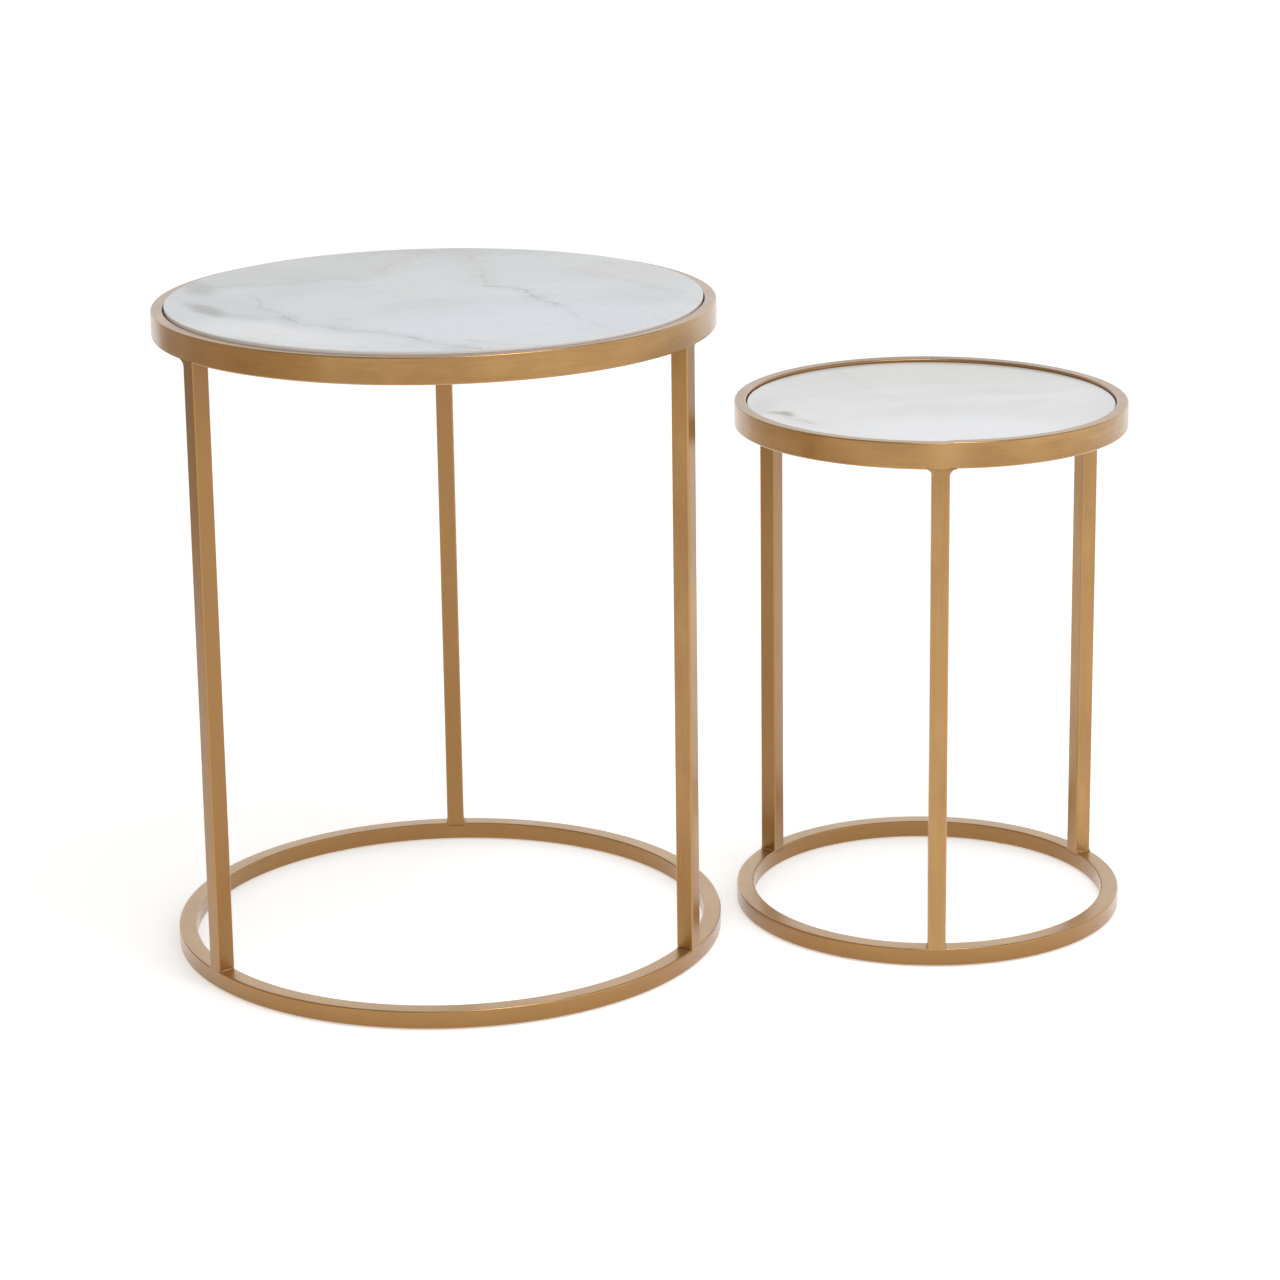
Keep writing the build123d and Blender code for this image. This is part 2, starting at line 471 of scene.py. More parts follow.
def make_base_welds(table, material):
    """A thin ground bead along each side of each leg's foot."""
    shapes = []
    tones = []
    for number, leg in enumerate(table.legs):
        angle = table.leg_angle(leg)
        outer = table.radius - LEG_SETBACK - 2.2 * MM
        inner = table.radius - LEG_SETBACK - table.tube + 2.0 * MM
        # Each bead carries its painted highlight or darkening
        for side, size, tone in zip((-1, 1), FOOT_FILLETS[leg], BEAD_TONES[leg]):
            aside = side * (table.tube / 2 + BEAD_ASIDE)
            near = table.place(angle, inner, aside, table.foot_top)
            far = table.place(angle, outer, aside, table.foot_top)
            shapes.append(weld_bead(near, far, FOOT_BEAD + 0.45 * size, 20 + number + side))
            tones += [tone] * len(shapes[-1][0])
    vertices, faces = join_shapes(shapes)
    node = f"{table.name}_base_welds"
    return add_mesh(
        f"{node}_beads", vertices, faces, material, f"{table.name}_frame", node, "gold_frame", tone=tones,
    )


def make_tabs(table, material):
    """Flat lugs with rounded inner corners and softened edges, let into the top hoop."""
    low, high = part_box(f"{table.name}_support_tabs")
    soften = 0.35 * MM
    shapes = []
    for leg in table.legs:
        angle = table.leg_angle(leg)
        inner = table.rim_inner_radius - TAB_REACH
        outer = table.rim_inner_radius + 0.4 * MM
        half = TAB_WIDTH / 2
        outline = [(outer, -half)]
        outline.append((outer, half))
        outline += arc((inner + TAB_CORNER, half - TAB_CORNER), TAB_CORNER, 90, 180, 6)
        outline += arc((inner + TAB_CORNER, TAB_CORNER - half), TAB_CORNER, 180, 270, 6)
        levels = [
            (low.z, soften), (low.z + 0.3 * soften, 0.3 * soften), (low.z + soften, 0),
            (high.z - soften, 0), (high.z - 0.3 * soften, 0.3 * soften), (high.z, soften),
        ]
        middle = Vector(((inner + outer) / 2, 0))
        vertices = []
        for z, inset in levels:
            for point in outline:
                offset = Vector(point) - middle
                shrunk = middle + Vector((
                    offset.x * (1 - 2 * inset / TAB_REACH), offset.y * (1 - 2 * inset / TAB_WIDTH),
                ))
                vertices.append(table.place(angle, shrunk.x, shrunk.y, z))
        size = len(outline)
        faces = [face[::-1] for face in skin(len(levels), size, False)]
        faces.append(tuple(range(size))[::-1])
        faces.append(tuple(range(len(vertices) - size, len(vertices))))
        shapes.append((vertices, faces))
    vertices, faces = join_shapes(shapes)
    node = f"{table.name}_support_tabs"
    return add_mesh(f"{node}_plates", vertices, faces, material, f"{table.name}_frame", node, "gold_frame")


def make_dots(table, node, outline, places, material, slot):
    """Small round pieces, all of one profile, at several places."""
    shapes = []
    for place in places:
        vertices, faces = revolve_disc(outline, 32)
        shapes.append(([Vector(vertex) + Vector(place) for vertex in vertices], faces))
    vertices, faces = join_shapes(shapes)
    return add_mesh(f"{node}_dots", vertices, faces, material, f"{table.name}_frame", node, slot)


def make_bumpers(table, material):
    """Low domes of soft silicone, pressed a little flat by the slab."""
    node = f"{table.name}_bumpers"
    low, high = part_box(node)
    thickness = high.z - low.z
    outline = [(0, 0), (BUMPER_RADIUS - 0.3 * MM, 0)]
    outline += arc((BUMPER_RADIUS - thickness, 0), thickness, 0, 84, 8)
    outline.append((0, thickness))
    distance = table.rim_inner_radius - TAB_REACH / 2
    places = [table.place(table.leg_angle(leg), distance, 0, low.z) for leg in table.legs]
    return make_dots(table, node, outline, places, material, "silicone")


def make_glides(table, material):
    """Pressed felt discs with soft edges."""
    node = f"{table.name}_glides"
    low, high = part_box(node)
    thickness = high.z - low.z
    soft = 0.4 * thickness
    outline = [(0, 0)]
    outline += arc((GLIDE_RADIUS - soft, soft), soft, -90, 0, 4)
    outline += arc((GLIDE_RADIUS - soft, thickness - soft), soft, 0, 90, 4)
    outline.append((0, thickness))
    distance = table.radius - table.tube / 2
    places = [table.place(2 * pi * k / GLIDE_COUNT, distance, 0, low.z) for k in range(GLIDE_COUNT)]
    return make_dots(table, node, outline, places, material, "felt")


def make_slab(table, material):
    """A polished round slab with eased arrises, whose proud upper edge is marked for a painted light."""
    node = f"{table.name}_marble_top"
    low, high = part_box(node)
    radius = (high.x - low.x) / 2 + SLAB_SWELL
    rings = [radius * share for share in (0.25, 0.5, 0.75, 0.92)]
    outline = [(0, low.z)]
    outline += [(ring, low.z) for ring in rings]
    outline += arc((radius - SLAB_ARRIS, low.z + SLAB_ARRIS), SLAB_ARRIS, -90, 0, 4)
    if high.z > table.height:
        outline += [(radius, table.height - 1 * MM), (radius, table.height + 0.4 * MM)]
    outline += arc((radius - SLAB_ARRIS, high.z - SLAB_ARRIS), SLAB_ARRIS, 0, 90, 6)
    outline += [(ring, high.z) for ring in reversed(rings)]
    outline.append((0, high.z))
    vertices, faces = revolve_disc(outline, RING_SEGMENTS)
    # Painted light: the slab's edge standing above the hoop is painted paler
    ground = [float(z > table.height and hypot(x, y) > radius - 0.2 * SLAB_ARRIS) for x, y, z in vertices]
    centre = Vector((table.axis.x, table.axis.y, 0))
    vertices = [Vector(vertex) + centre for vertex in vertices]
    return add_mesh(
        f"{node}_slab", vertices, faces, material, f"{table.name}_top", node, "marble", ground_edge=ground,
    )


# ---------------------------------------------------------------- materials


class Shader:
    """A short way to build one material out of nodes."""

    def __init__(self, name):
        self.material = bpy.data.materials.new(name)
        self.material.use_nodes = True
        self.tree = self.material.node_tree
        self.surface = self.tree.nodes["Principled BSDF"]
        self.coordinates = self.tree.nodes.new("ShaderNodeTexCoord").outputs["Object"]

    def feed(self, socket, value):
        """Link an output into a socket, or set a plain value on it."""
        if isinstance(value, bpy.types.NodeSocket):
            self.tree.links.new(value, socket)
        else:
            socket.default_value = value

    def math(self, operation, *values, clamp=False):
        """One sum on numbers, held between 0 and 1 when clamp is set."""
        node = self.tree.nodes.new("ShaderNodeMath")
        node.operation = operation
        node.use_clamp = clamp
        for socket, value in zip(node.inputs, values):
            self.feed(socket, value)
        return node.outputs[0]

    def vector(self, operation, *values, output="Vector"):
        """One sum on vectors."""
        node = self.tree.nodes.new("ShaderNodeVectorMath")
        node.operation = operation
        for socket, value in zip(node.inputs, values):
            self.feed(socket, value)
        return node.outputs[output]

    def scaled(self, coordinates, factor):
        """Coordinates multiplied by a number along each axis."""
        return self.vector("MULTIPLY", coordinates, factor)

    def noise(self, coordinates, scale, detail=3.0, roughness=0.5, output="Fac"):
        """Cloudy noise whose features are about 1 / scale metres across."""
        node = self.tree.nodes.new("ShaderNodeTexNoise")
        self.feed(node.inputs["Vector"], coordinates)
        node.inputs["Scale"].default_value = scale
        node.inputs["Detail"].default_value = detail
        node.inputs["Roughness"].default_value = roughness
        return node.outputs[output]

    def ramp(self, value, low, high, to_low=0.0, to_high=1.0, smooth=False):
        """Map a range of values onto another, held at its ends."""
        node = self.tree.nodes.new("ShaderNodeMapRange")
        node.interpolation_type = "SMOOTHSTEP" if smooth else "LINEAR"
        for socket, number in zip(node.inputs, (value, low, high, to_low, to_high)):
            self.feed(socket, number)
        return node.outputs[0]

    def mix(self, share, first, second):
        """Mix two colours."""
        node = self.tree.nodes.new("ShaderNodeMix")
        node.data_type = "RGBA"
        colour_inputs = [socket for socket in node.inputs if socket.type == "RGBA"]
        self.feed(node.inputs[0], share)
        for socket, colour in zip(colour_inputs, (first, second)):
            self.feed(socket, (*colour, 1) if isinstance(colour, tuple) else colour)
        return next(socket for socket in node.outputs if socket.type == "RGBA")

    def attribute(self, name):
        """The number that each vertex carries under a name."""
        node = self.tree.nodes.new("ShaderNodeAttribute")
        node.attribute_name = name
        return node.outputs["Fac"]

    def bump(self, height, distance, strength, normal=None):
        """A normal bent by a relief, over an earlier normal if one is given."""
        node = self.tree.nodes.new("ShaderNodeBump")
        node.inputs["Strength"].default_value = strength
        node.inputs["Distance"].default_value = distance
        self.feed(node.inputs["Height"], height)
        if normal is not None:
            self.feed(node.inputs["Normal"], normal)
        return node.outputs["Normal"]

    def set(self, **values):
        """Feed the surface's sockets by name, with underscores for spaces."""
        for name, value in values.items():
            socket = self.surface.inputs[name.replace("_", " ")]
            self.feed(socket, (*value, 1) if isinstance(value, tuple) and len(value) == 3 else value)


# Lacquer colours: light (lacquer thinned by wear on ridges, and painted light), plain, deep (and painted
# shade), and darkest (painted shade, and the darkest weld beads)
GOLD_LIGHT = (0.495, 0.288, 0.110)
GOLD_MAIN = (0.412, 0.222, 0.068)
GOLD_DEEP = (0.330, 0.166, 0.044)
GOLD_SHADE_DARK = (0.170, 0.080, 0.022)


def make_gold(name, table=None):
    """Satin gold lacquer over brushed tube. The brushing runs round the table, or else upright."""
    shader = Shader(name)
    here = shader.coordinates
    if table:
        centred = shader.vector("SUBTRACT", here, (table.axis.x, table.axis.y, 0))
        split = shader.tree.nodes.new("ShaderNodeSeparateXYZ")
        shader.feed(split.inputs[0], centred)
        turn = shader.math("ARCTAN2", split.outputs["Y"], split.outputs["X"])
        round_length = shader.math("MULTIPLY", turn, table.radius * 0.04)
        distance = shader.vector("LENGTH", shader.scaled(centred, (1, 1, 0)), output="Value")
        combine = shader.tree.nodes.new("ShaderNodeCombineXYZ")
        for socket, value in zip(combine.inputs, (distance, round_length, split.outputs["Z"])):
            shader.feed(socket, value)
        grain = combine.outputs[0]
        patches = shader.noise(shader.scaled(here, (1, 1, 2.4)), 20, detail=3.0, roughness=0.6)
    else:
        grain = shader.scaled(here, (1, 1, 0.04))
        patches = shader.noise(shader.scaled(here, (1, 1, 0.4)), 26, detail=3.0, roughness=0.6)
    clouds = shader.noise(here, 9, detail=2.0)
    streaks = shader.noise(grain, 900, detail=4.0, roughness=0.6)
    bands = shader.noise(grain, 240, detail=2.0)
    fine = shader.noise(grain, 3500, detail=2.0)
    peel = shader.noise(here, 380, detail=2.0)
    wear_and_glint = shader.attribute("edge_wear")
    tone = shader.attribute("tone")
    body = shader.mix(shader.ramp(clouds, 0.35, 0.65, 0.0, 0.20, smooth=True), GOLD_MAIN, GOLD_DEEP)
    # Blotches of deeper and paler lacquer, partly painted reflection of the surroundings
    body = shader.mix(shader.ramp(patches, 0.50, 0.66, 0.0, 0.60, smooth=True), body, GOLD_DEEP)
    body = shader.mix(shader.ramp(patches, 0.48, 0.34, 0.0, 0.45, smooth=True), body, GOLD_LIGHT)
    body = shader.mix(shader.ramp(bands, 0.46, 0.68, 0.0, 0.40), body, GOLD_DEEP)
    body = shader.mix(shader.ramp(streaks, 0.40, 0.70, 0.0, 0.40), body, GOLD_LIGHT)
    # Painted shade, darkest painted shade and painted light, from the painted shading each vertex carries
    body = shader.mix(shader.math("MULTIPLY", tone, -1.0, clamp=True), body, GOLD_DEEP)
    body = shader.mix(shader.math("SUBTRACT", -1.0, tone, clamp=True), body, GOLD_SHADE_DARK)
    body = shader.mix(shader.math("MULTIPLY", tone, 0.8, clamp=True), body, GOLD_LIGHT)
    # Ridges paler: partly wear of the lacquer, partly a painted highlight
    body = shader.mix(shader.math("MULTIPLY", wear_and_glint, 0.45), body, GOLD_LIGHT)
    rough = shader.ramp(streaks, 0.3, 0.7, 0.35, 0.45)
    rough = shader.math("ADD", rough, shader.ramp(patches, 0.35, 0.65, -0.03, 0.04))
    rough = shader.math("SUBTRACT", rough, shader.math("MULTIPLY", wear_and_glint, 0.16))
    relief = shader.math("ADD", shader.math("MULTIPLY", streaks, 0.7), shader.math("MULTIPLY", fine, 0.3))
    normal = shader.bump(relief, 0.00002, 0.6)
    normal = shader.bump(peel, 0.00003, 0.5, normal)
    shader.set(Base_Color=body, Metallic=0.92, Roughness=rough, Normal=normal)
    shader.set(Coat_Weight=1.0, Coat_Roughness=0.22, Coat_IOR=1.38)
    return shader.material


def make_plain(name, colour, roughness):
    """A matt material with a fine mottle."""
    shader = Shader(name)
    mottle = shader.noise(shader.coordinates, 1500, detail=3.0)
    shader.set(Base_Color=shader.mix(mottle, dimmed(colour, 0.8), colour), Roughness=roughness)
    shader.set(Normal=shader.bump(mottle, 0.0001, 0.5))
    return shader.material


# How much darker the veins' and each slab's stains' and painted reflections' colours are laid on than they
# are listed
VEIN_DIMMING = 0.86
STAIN_AND_REFLECTION_DIMMING = {"large": 0.84, "small": 0.87}

# Veins on each slab: points from its centre, width, strength, strength of the haze beside it, colour
GREY_VEIN = (0.33, 0.35, 0.37)
BROWN_VEIN = (0.46, 0.41, 0.35)
VEINS = {
    "large": [
        ([(-0.156, 0.014), (-0.145, -0.011), (-0.140, -0.040), (-0.124, -0.065), (-0.112, -0.088)],
         0.0022, 0.60, 0.22, GREY_VEIN),
        ([(-0.112, -0.088), (-0.101, -0.108), (-0.076, -0.124), (-0.058, -0.139), (-0.036, -0.145),
          (-0.014, -0.163), (0.004, -0.182), (0.022, -0.202), (0.048, -0.216)],
         0.0036, 0.90, 0.34, GREY_VEIN),
        ([(-0.112, -0.088), (-0.150, -0.078), (-0.176, -0.066)], 0.0040, 0.10, 0.40, GREY_VEIN),
        ([(-0.190, 0.052), (-0.140, 0.060), (-0.102, 0.076), (-0.087, 0.083), (-0.067, 0.072)],
         0.0034, 0.62, 0.30, GREY_VEIN),
        ([(-0.067, 0.072), (-0.058, 0.094), (-0.051, 0.131), (-0.042, 0.163), (-0.018, 0.210)],
         0.0040, 0.42, 0.30, BROWN_VEIN),
        ([(0.010, 0.224), (0.016, 0.190), (0.024, 0.160), (0.033, 0.118), (0.040, 0.066), (0.040, 0.044)],
         0.0050, 0.55, 0.25, BROWN_VEIN),
        ([(0.040, 0.044), (0.058, 0.036), (0.073, 0.022)], 0.0036, 0.85, 0.30, GREY_VEIN),
        ([(0.073, 0.022), (0.080, 0.000), (0.087, -0.018), (0.106, -0.042)], 0.0032, 0.80, 0.30, GREY_VEIN),
        ([(0.106, -0.042), (0.116, -0.073), (0.124, -0.102), (0.140, -0.132)], 0.0030, 0.28, 0.14, GREY_VEIN),
        ([(0.112, 0.112), (0.138, 0.087), (0.160, 0.058), (0.192, 0.012)], 0.0050, 0.34, 0.22, BROWN_VEIN),
        ([(0.036, -0.180), (0.052, -0.192), (0.078, -0.206)], 0.0028, 0.60, 0.20, GREY_VEIN),
    ],
    "small": [
        ([(-0.126, -0.058), (-0.115, -0.069), (-0.102, -0.082), (-0.094, -0.086)],
         0.0030, 0.62, 0.25, BROWN_VEIN),
        ([(-0.078, 0.122), (-0.071, 0.110), (-0.058, 0.074), (-0.052, 0.056)], 0.0036, 0.26, 0.16, GREY_VEIN),
        ([(0.030, 0.036), (0.080, 0.030), (0.128, 0.040)], 0.0050, 0.14, 0.12, GREY_VEIN),
    ],
}
# Stains: centre, direction in degrees, half-length, half-width, strength and colour, from broad to dark; the
# broad ones, greyer to the rear and paler and bluer to the front, are partly the slab's clouding and partly
# painted reflection
STAINS_AND_REFLECTIONS = {
    "large": [
        ((-0.110, 0.130), 28, 0.150, 0.070, 0.60, (0.575, 0.575, 0.570)),
        ((0.000, 0.230), 0, 0.210, 0.060, 0.65, (0.512, 0.512, 0.507)),
        ((0.160, 0.110), -45, 0.090, 0.040, 0.60, (0.630, 0.605, 0.575)),
        ((0.055, 0.120), 80, 0.080, 0.040, 0.50, (0.640, 0.690, 0.675)),
        ((-0.050, 0.040), 60, 0.080, 0.060, 0.45, (0.680, 0.735, 0.735)),
        ((-0.120, -0.150), -38, 0.090, 0.035, 0.90, (0.880, 0.885, 0.910)),
        ((0.070, -0.110), 20, 0.130, 0.080, 0.75, (0.745, 0.790, 0.900)),
        ((-0.020, 0.020), 90, 0.050, 0.016, 0.35, (0.680, 0.650, 0.660)),
        ((-0.160, -0.040), -55, 0.075, 0.030, 0.45, (0.560, 0.580, 0.600)),
        ((-0.200, 0.046), -68, 0.040, 0.013, 0.80, (0.400, 0.400, 0.400)),
        ((-0.182, -0.047), -60, 0.038, 0.011, 0.98, (0.340, 0.340, 0.345)),
    ],
    "small": [
        ((0.020, 0.100), 0, 0.130, 0.060, 0.60, (0.700, 0.690, 0.635)),
        ((0.040, 0.030), 10, 0.110, 0.020, 0.30, (0.680, 0.675, 0.670)),
        ((0.000, -0.110), 0, 0.120, 0.060, 0.80, (0.920, 0.925, 0.960)),
        ((-0.146, -0.024), 80, 0.040, 0.012, 0.50, (0.600, 0.605, 0.620)),
        ((-0.130, -0.040), -15, 0.011, 0.007, 0.75, (0.400, 0.350, 0.260)),
        ((-0.124, -0.047), -60, 0.010, 0.005, 0.85, (0.330, 0.290, 0.220)),
    ],
}
# Each slab's bright and soft ground colours, its wisps and how strong they are
MARBLE_TINTS = {
    "large": ((0.600, 0.627, 0.654), (0.525, 0.548, 0.568)),
    "small": ((0.735, 0.732, 0.729), (0.670, 0.664, 0.658)),
}
DARK_WISP = (0.46, 0.48, 0.50)
PALE_WISP = (0.73, 0.75, 0.78)
WISP_STRENGTHS = {"large": 0.30, "small": 0.14}
CRYSTAL_TINT = (0.82, 0.83, 0.85)
# Painted light on the slab's proud edge
LIT_EDGE_TINT = (0.93, 0.93, 0.93)
HAZE_SPREAD = 4.5


def dimmed(colour, share):
    """A colour with each channel cut to a share of itself."""
    return tuple(channel * share for channel in colour)


def distance_to_run(shader, here, start, end):
    """Distance from the shading point to a straight run between two points of the slab's plane."""
    run = Vector((*end, 0)) - Vector((*start, 0))
    offset = shader.vector("SUBTRACT", here, (*start, 0))
    along = shader.vector("DOT_PRODUCT", offset, tuple(run / run.length_squared), output="Value")
    along = shader.math("ADD", along, 0.0, clamp=True)
    scale = shader.tree.nodes.new("ShaderNodeVectorMath")
    scale.operation = "SCALE"
    scale.inputs[0].default_value = tuple(run)
    shader.feed(scale.inputs["Scale"], along)
    return shader.vector("DISTANCE", offset, scale.outputs[0], output="Value")


def distance_to_stain(shader, here, centre, degrees, half_length, half_width):
    """Distance from a stain's middle, where 1 is its outline."""
    offset = shader.vector("SUBTRACT", here, (*centre, 0))
    lengthways = (cos(radians(degrees)) / half_length, sin(radians(degrees)) / half_length, 0)
    crossways = (-sin(radians(degrees)) / half_width, cos(radians(degrees)) / half_width, 0)
    along = shader.vector("DOT_PRODUCT", offset, lengthways, output="Value")
    across = shader.vector("DOT_PRODUCT", offset, crossways, output="Value")
    along_squared = shader.math("MULTIPLY", along, along)
    across_squared = shader.math("MULTIPLY", across, across)
    return shader.math("SQRT", shader.math("ADD", along_squared, across_squared))


def make_marble(table):
    """Polished white marble with the slab's own veins and stains, broad patches that are partly painted
    reflection, and a painted light on its proud edge.
    """
    shader = Shader(f"{table.name}_marble")
    centred = shader.vector("SUBTRACT", shader.coordinates, (table.axis.x, table.axis.y, 0))
    flat = shader.scaled(centred, (1, 1, 0))
    half = (0.5, 0.5, 0.5)
    wander = shader.vector("SUBTRACT", shader.noise(flat, 13, 3.0, 0.5, output="Color"), half)
    jitter = shader.vector("SUBTRACT", shader.noise(flat, 85, 4.0, 0.65, output="Color"), half)
    bent = shader.vector("ADD", flat, shader.scaled(wander, (0.018, 0.018, 0)))
    bent = shader.vector("ADD", bent, shader.scaled(jitter, (0.009, 0.009, 0)))
    torn = shader.vector("ADD", flat, shader.scaled(wander, (0.045, 0.045, 0)))
    torn = shader.vector("ADD", torn, shader.scaled(jitter, (0.022, 0.022, 0)))
    bright, soft = MARBLE_TINTS[table.name]
    clouds = shader.noise(torn, 9, 5.0, 0.62)
    colour = shader.mix(shader.ramp(clouds, 0.42, 0.66, smooth=True), bright, soft)
    wisps = shader.noise(shader.scaled(shader.vector("ADD", torn, (0.3, 0.1, 0)), (1, 2.2, 1)), 30, 4.0, 0.7)
    # Stains, and broad patches that are partly painted reflection
    for (centre, degrees, half_length, half_width, strength, tint) in STAINS_AND_REFLECTIONS[table.name]:
        where = bent if half_width < 0.02 else torn
        away = distance_to_stain(shader, where, centre, degrees, half_length, half_width)
        share = shader.ramp(away, 1.35, 0.35, 0.0, strength, smooth=True)
        colour = shader.mix(share, colour, dimmed(tint, STAIN_AND_REFLECTION_DIMMING[table.name]))
    wisp_strength = WISP_STRENGTHS[table.name]
    colour = shader.mix(shader.ramp(wisps, 0.52, 0.74, 0.0, wisp_strength), colour, DARK_WISP)
    colour = shader.mix(shader.ramp(wisps, 0.46, 0.28, 0.0, wisp_strength), colour, PALE_WISP)
    patchy = shader.ramp(shader.noise(flat, 48, 3.0, 0.6), 0.38, 0.58, 0.15, 1.0)
    smoky = shader.ramp(shader.noise(torn, 36, 4.0, 0.65), 0.36, 0.64, 0.2, 1.0)
    for points, width, strength, haze, tint in VEINS[table.name]:
        nearest = None
        for start, end in zip(points, points[1:]):
            away = distance_to_run(shader, bent, start, end)
            nearest = away if nearest is None else shader.math("MINIMUM", nearest, away)
        core = shader.math("MULTIPLY", shader.ramp(nearest, width, 0.0, 0.0, strength, smooth=True), patchy)
        spread = width * HAZE_SPREAD
        halo = shader.math("MULTIPLY", shader.ramp(nearest, spread, 0.0, 0.0, haze, smooth=True), smoky)
        colour = shader.mix(shader.math("MAXIMUM", core, halo), colour, dimmed(tint, VEIN_DIMMING))
    crystals = shader.noise(shader.coordinates, 1400, 2.0)
    colour = shader.mix(shader.ramp(crystals, 0.4, 0.6, 0.0, 0.06), colour, CRYSTAL_TINT)
    # Painted light: the proud edge painted paler
    colour = shader.mix(shader.attribute("ground_edge"), colour, LIT_EDGE_TINT)
    rough = shader.ramp(shader.noise(flat, 60, 3.0), 0.3, 0.7, 0.16, 0.22)
    shader.set(Base_Color=colour, Roughness=rough, Normal=shader.bump(crystals, 0.00001, 0.3))
    shader.set(Specular_IOR_Level=0.40, Subsurface_Weight=0.05, Subsurface_Scale=0.004)
    return shader.material


def make_silicone():
    """Cloudy soft silicone."""
    shader = Shader("cloudy_silicone")
    haze = shader.noise(shader.coordinates, 600, 2.0)
    shader.set(Base_Color=shader.mix(haze, (0.70, 0.70, 0.68), (0.82, 0.82, 0.80)), Roughness=0.35)
    shader.set(Subsurface_Weight=0.3, Subsurface_Scale=0.002, Normal=shader.bump(haze, 0.00005, 0.3))
    return shader.material


# ---------------------------------------------------------------- the tables

felt = make_plain("pressed_felt", (0.36, 0.29, 0.22), 0.95)
silicone = make_silicone()
upright_gold = make_gold("gold_upright")

# Each hoop's butt joint: its direction in degrees, the step between its ends, and the hoop's twist, which
# also paints the rear of its upper face darker as painted shade
SEAMS = {
    "large_top_hoop": (60, 0.3 * MM, 0),
    "large_base_hoop": (215, 0.2 * MM, 0),
    "small_top_hoop": (-89, 0.9 * MM, 0.9 * MM),
    "small_base_hoop": (-99, 0.3 * MM, 0),
}

for name in ("large", "small"):
    table = Table(name)
    rolled_gold = make_gold(f"gold_rolled_{name}", table)
    seam, step, twist = SEAMS[f"{name}_top_hoop"]
    rim_width = table.radius - table.rim_inner_radius
    make_hoop(
        table, "top_hoop", rim_width, table.rim_base, table.height, radians(seam), step, twist, rolled_gold,
    )
    seam, step, twist = SEAMS[f"{name}_base_hoop"]
    make_hoop(
        table, "base_hoop", table.tube, table.foot_base, table.foot_top, radians(seam), step, twist,
        rolled_gold,
    )
    for leg in table.legs:
        make_leg(table, leg, upright_gold)
    make_top_welds(table, upright_gold)
    make_base_welds(table, upright_gold)
    make_tabs(table, rolled_gold)
    make_bumpers(table, silicone)
    make_glides(table, felt)
    make_slab(table, make_marble(table))


# ---------------------------------------------------------------- stage, light and camera

# Floor: radius, thickness, and how much light it gives off so that it stays plain white
FLOOR_RADIUS = 40
FLOOR_THICKNESS = 0.002
FLOOR_GLOW = 0.44

# Dark card: its place to the left, its front and rear ends, and its height
FLAG_X = -1.5
FLAG_FRONT = -1.6
FLAG_REAR = 1.4
FLAG_HEIGHT = 1.5

# Surround: strength at the horizon and overhead, and how much stronger it is to the rear
WORLD_COLOUR = (0.985, 0.995, 1.0, 1)
WORLD_LOW = 0.885
WORLD_HIGH = 0.46
WORLD_REAR_LOW = 1.02
WORLD_REAR = 1.36

# Softboxes, in watts
RIGHT_POWER = 6
OVERHEAD_POWER = 16

# Camera: where it stands, how far it looks down and rolls, in radians, and its lens
CAMERA_PLACE = (0.0087, -2.8707, 1.1086)
CAMERA_PITCH = 0.2520
CAMERA_ROLL = -0.0115
CAMERA_LENS = 99.54
CAMERA_SHIFT = (-0.0146, -0.1029)


def make_floor():
    """A plain white floor, wide enough to pass behind the tables from any side."""
    outline = [(0, -FLOOR_THICKNESS), (FLOOR_RADIUS, -FLOOR_THICKNESS), (FLOOR_RADIUS, 0), (0, 0)]
    vertices, faces = revolve_disc(outline, 96)
    mesh = bpy.data.meshes.new("studio_floor")
    mesh.from_pydata(vertices, [], faces)
    floor = bpy.data.objects.new("studio_floor", mesh)
    bpy.context.scene.collection.objects.link(floor)
    shader = Shader("white_floor")
    shader.set(Base_Color=(0.94, 0.94, 0.94), Roughness=0.9, Specular_IOR_Level=0.0)
    shader.set(Emission_Color=(1, 1, 1), Emission_Strength=FLOOR_GLOW)
    mesh.materials.append(shader.material)


def make_flag():
    """A dark card that stands off to the left, unseen, and shades that side of the metal."""
    mesh = bpy.data.meshes.new("left_flag")
    foot = [(FLAG_X, FLAG_FRONT, 0), (FLAG_X, FLAG_REAR, 0)]
    head = [(FLAG_X, FLAG_REAR, FLAG_HEIGHT), (FLAG_X, FLAG_FRONT, FLAG_HEIGHT)]
    mesh.from_pydata(foot + head, [], [(0, 1, 2, 3)])
    flag = bpy.data.objects.new("left_flag", mesh)
    bpy.context.scene.collection.objects.link(flag)
    flag.visible_camera = False
    shader = Shader("dark_card")
    shader.set(Base_Color=(0.50, 0.42, 0.33), Roughness=0.9, Specular_IOR_Level=0.0)
    mesh.materials.append(shader.material)


def map_range(tree, value, start, end, to_start, to_end, smooth=True):
    """Map a value's range onto another, whose end may itself be another node's output."""
    node = tree.nodes.new("ShaderNodeMapRange")
    node.interpolation_type = "SMOOTHSTEP" if smooth else "LINEAR"
    tree.links.new(value, node.inputs["Value"])
    node.inputs["From Min"].default_value = start
    node.inputs["From Max"].default_value = end
    node.inputs["To Min"].default_value = to_start
    if isinstance(to_end, bpy.types.NodeSocket):
        tree.links.new(to_end, node.inputs["To Max"])
    else:
        node.inputs["To Max"].default_value = to_end
    return node.outputs[0]


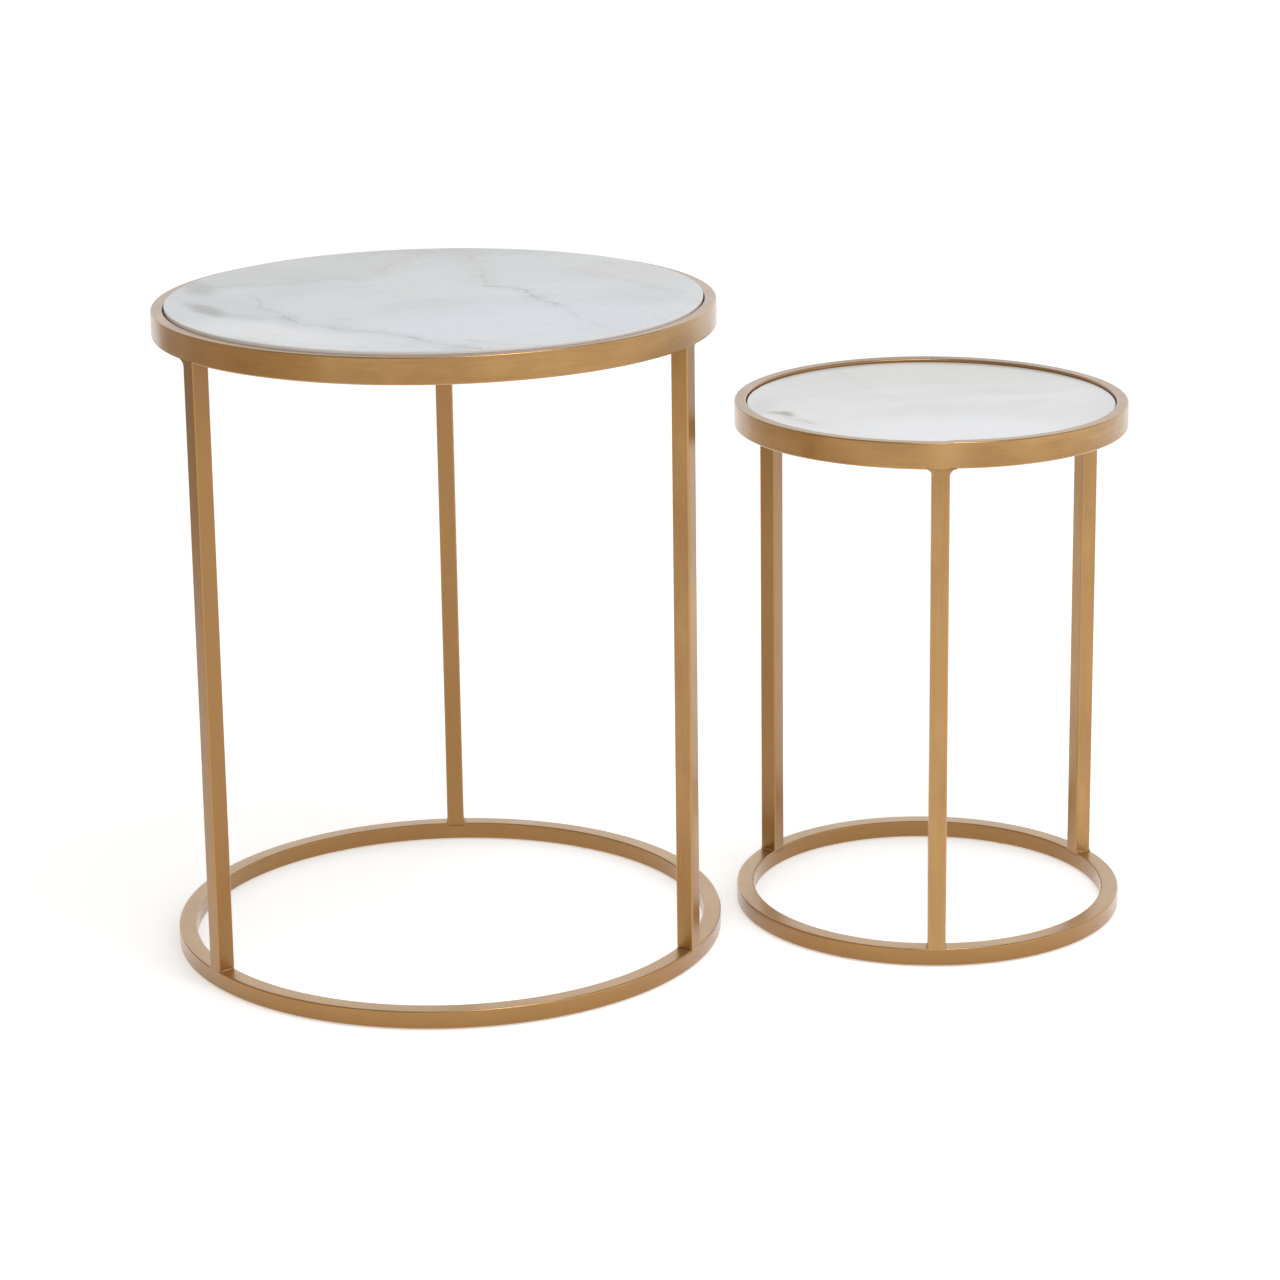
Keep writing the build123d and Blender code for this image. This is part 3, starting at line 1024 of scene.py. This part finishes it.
def multiply(tree, first, second):
    """The product of two nodes' outputs."""
    node = tree.nodes.new("ShaderNodeMath")
    node.operation = "MULTIPLY"
    tree.links.new(first, node.inputs[0])
    tree.links.new(second, node.inputs[1])
    return node.outputs[0]


def make_world():
    """A pale surround, weaker overhead and to the left, and stronger to the rear above the floor."""
    world = bpy.data.worlds.new("studio_surround")
    world.use_nodes = True
    tree = world.node_tree
    coordinates = tree.nodes.new("ShaderNodeTexCoord")
    split = tree.nodes.new("ShaderNodeSeparateXYZ")
    tree.links.new(coordinates.outputs["Generated"], split.inputs[0])
    level = map_range(tree, split.outputs["Z"], 0.34, 0.85, WORLD_LOW, WORLD_HIGH)
    leftwards = map_range(tree, split.outputs["X"], -1.0, 1.0, 0.82, 1.10, smooth=False)
    rise = map_range(tree, split.outputs["Z"], 0.12, 0.32, WORLD_REAR_LOW, WORLD_REAR)
    rearwards = map_range(tree, split.outputs["Y"], 0.3, 0.9, 1.0, rise)
    sideways = multiply(tree, rearwards, leftwards)
    background = tree.nodes["Background"]
    background.inputs["Color"].default_value = WORLD_COLOUR
    tree.links.new(multiply(tree, level, sideways), background.inputs["Strength"])
    bpy.context.scene.world = world


def make_softbox(name, place, target, width, height, power):
    """A rectangular soft light that faces a target and isn't itself seen."""
    light = bpy.data.lights.new(name, "AREA")
    light.shape = "RECTANGLE"
    light.size = width
    light.size_y = height
    light.energy = power
    softbox = bpy.data.objects.new(name, light)
    bpy.context.scene.collection.objects.link(softbox)
    direction = Vector(target) - Vector(place)
    softbox.location = place
    softbox.rotation_euler = direction.to_track_quat("-Z", "Y").to_euler()
    softbox.visible_camera = False


def make_camera():
    """A view from in front, a little above the tops, with a long lens."""
    camera = bpy.data.cameras.new("camera")
    camera.lens = CAMERA_LENS
    camera.sensor_width = 36
    camera.shift_x, camera.shift_y = CAMERA_SHIFT
    camera.clip_end = 100
    viewer = bpy.data.objects.new("camera", camera)
    bpy.context.scene.collection.objects.link(viewer)
    stand = Matrix.Translation(CAMERA_PLACE)
    tilt = Matrix.Rotation(pi / 2 - CAMERA_PITCH, 4, "X")
    roll = Matrix.Rotation(CAMERA_ROLL, 4, "Z")
    viewer.matrix_world = stand @ tilt @ roll
    bpy.context.scene.camera = viewer


make_floor()
make_flag()
make_world()
make_softbox("right_panel", (2.6, -1.2, 1.3), (0, 0, 0.35), 2.4, 2.0, RIGHT_POWER)
make_softbox("overhead", (0.55, -0.55, 2.5), (0.05, 0, 0.4), 0.95, 0.95, OVERHEAD_POWER)
make_camera()
bpy.context.scene.view_settings.view_transform = "Standard"
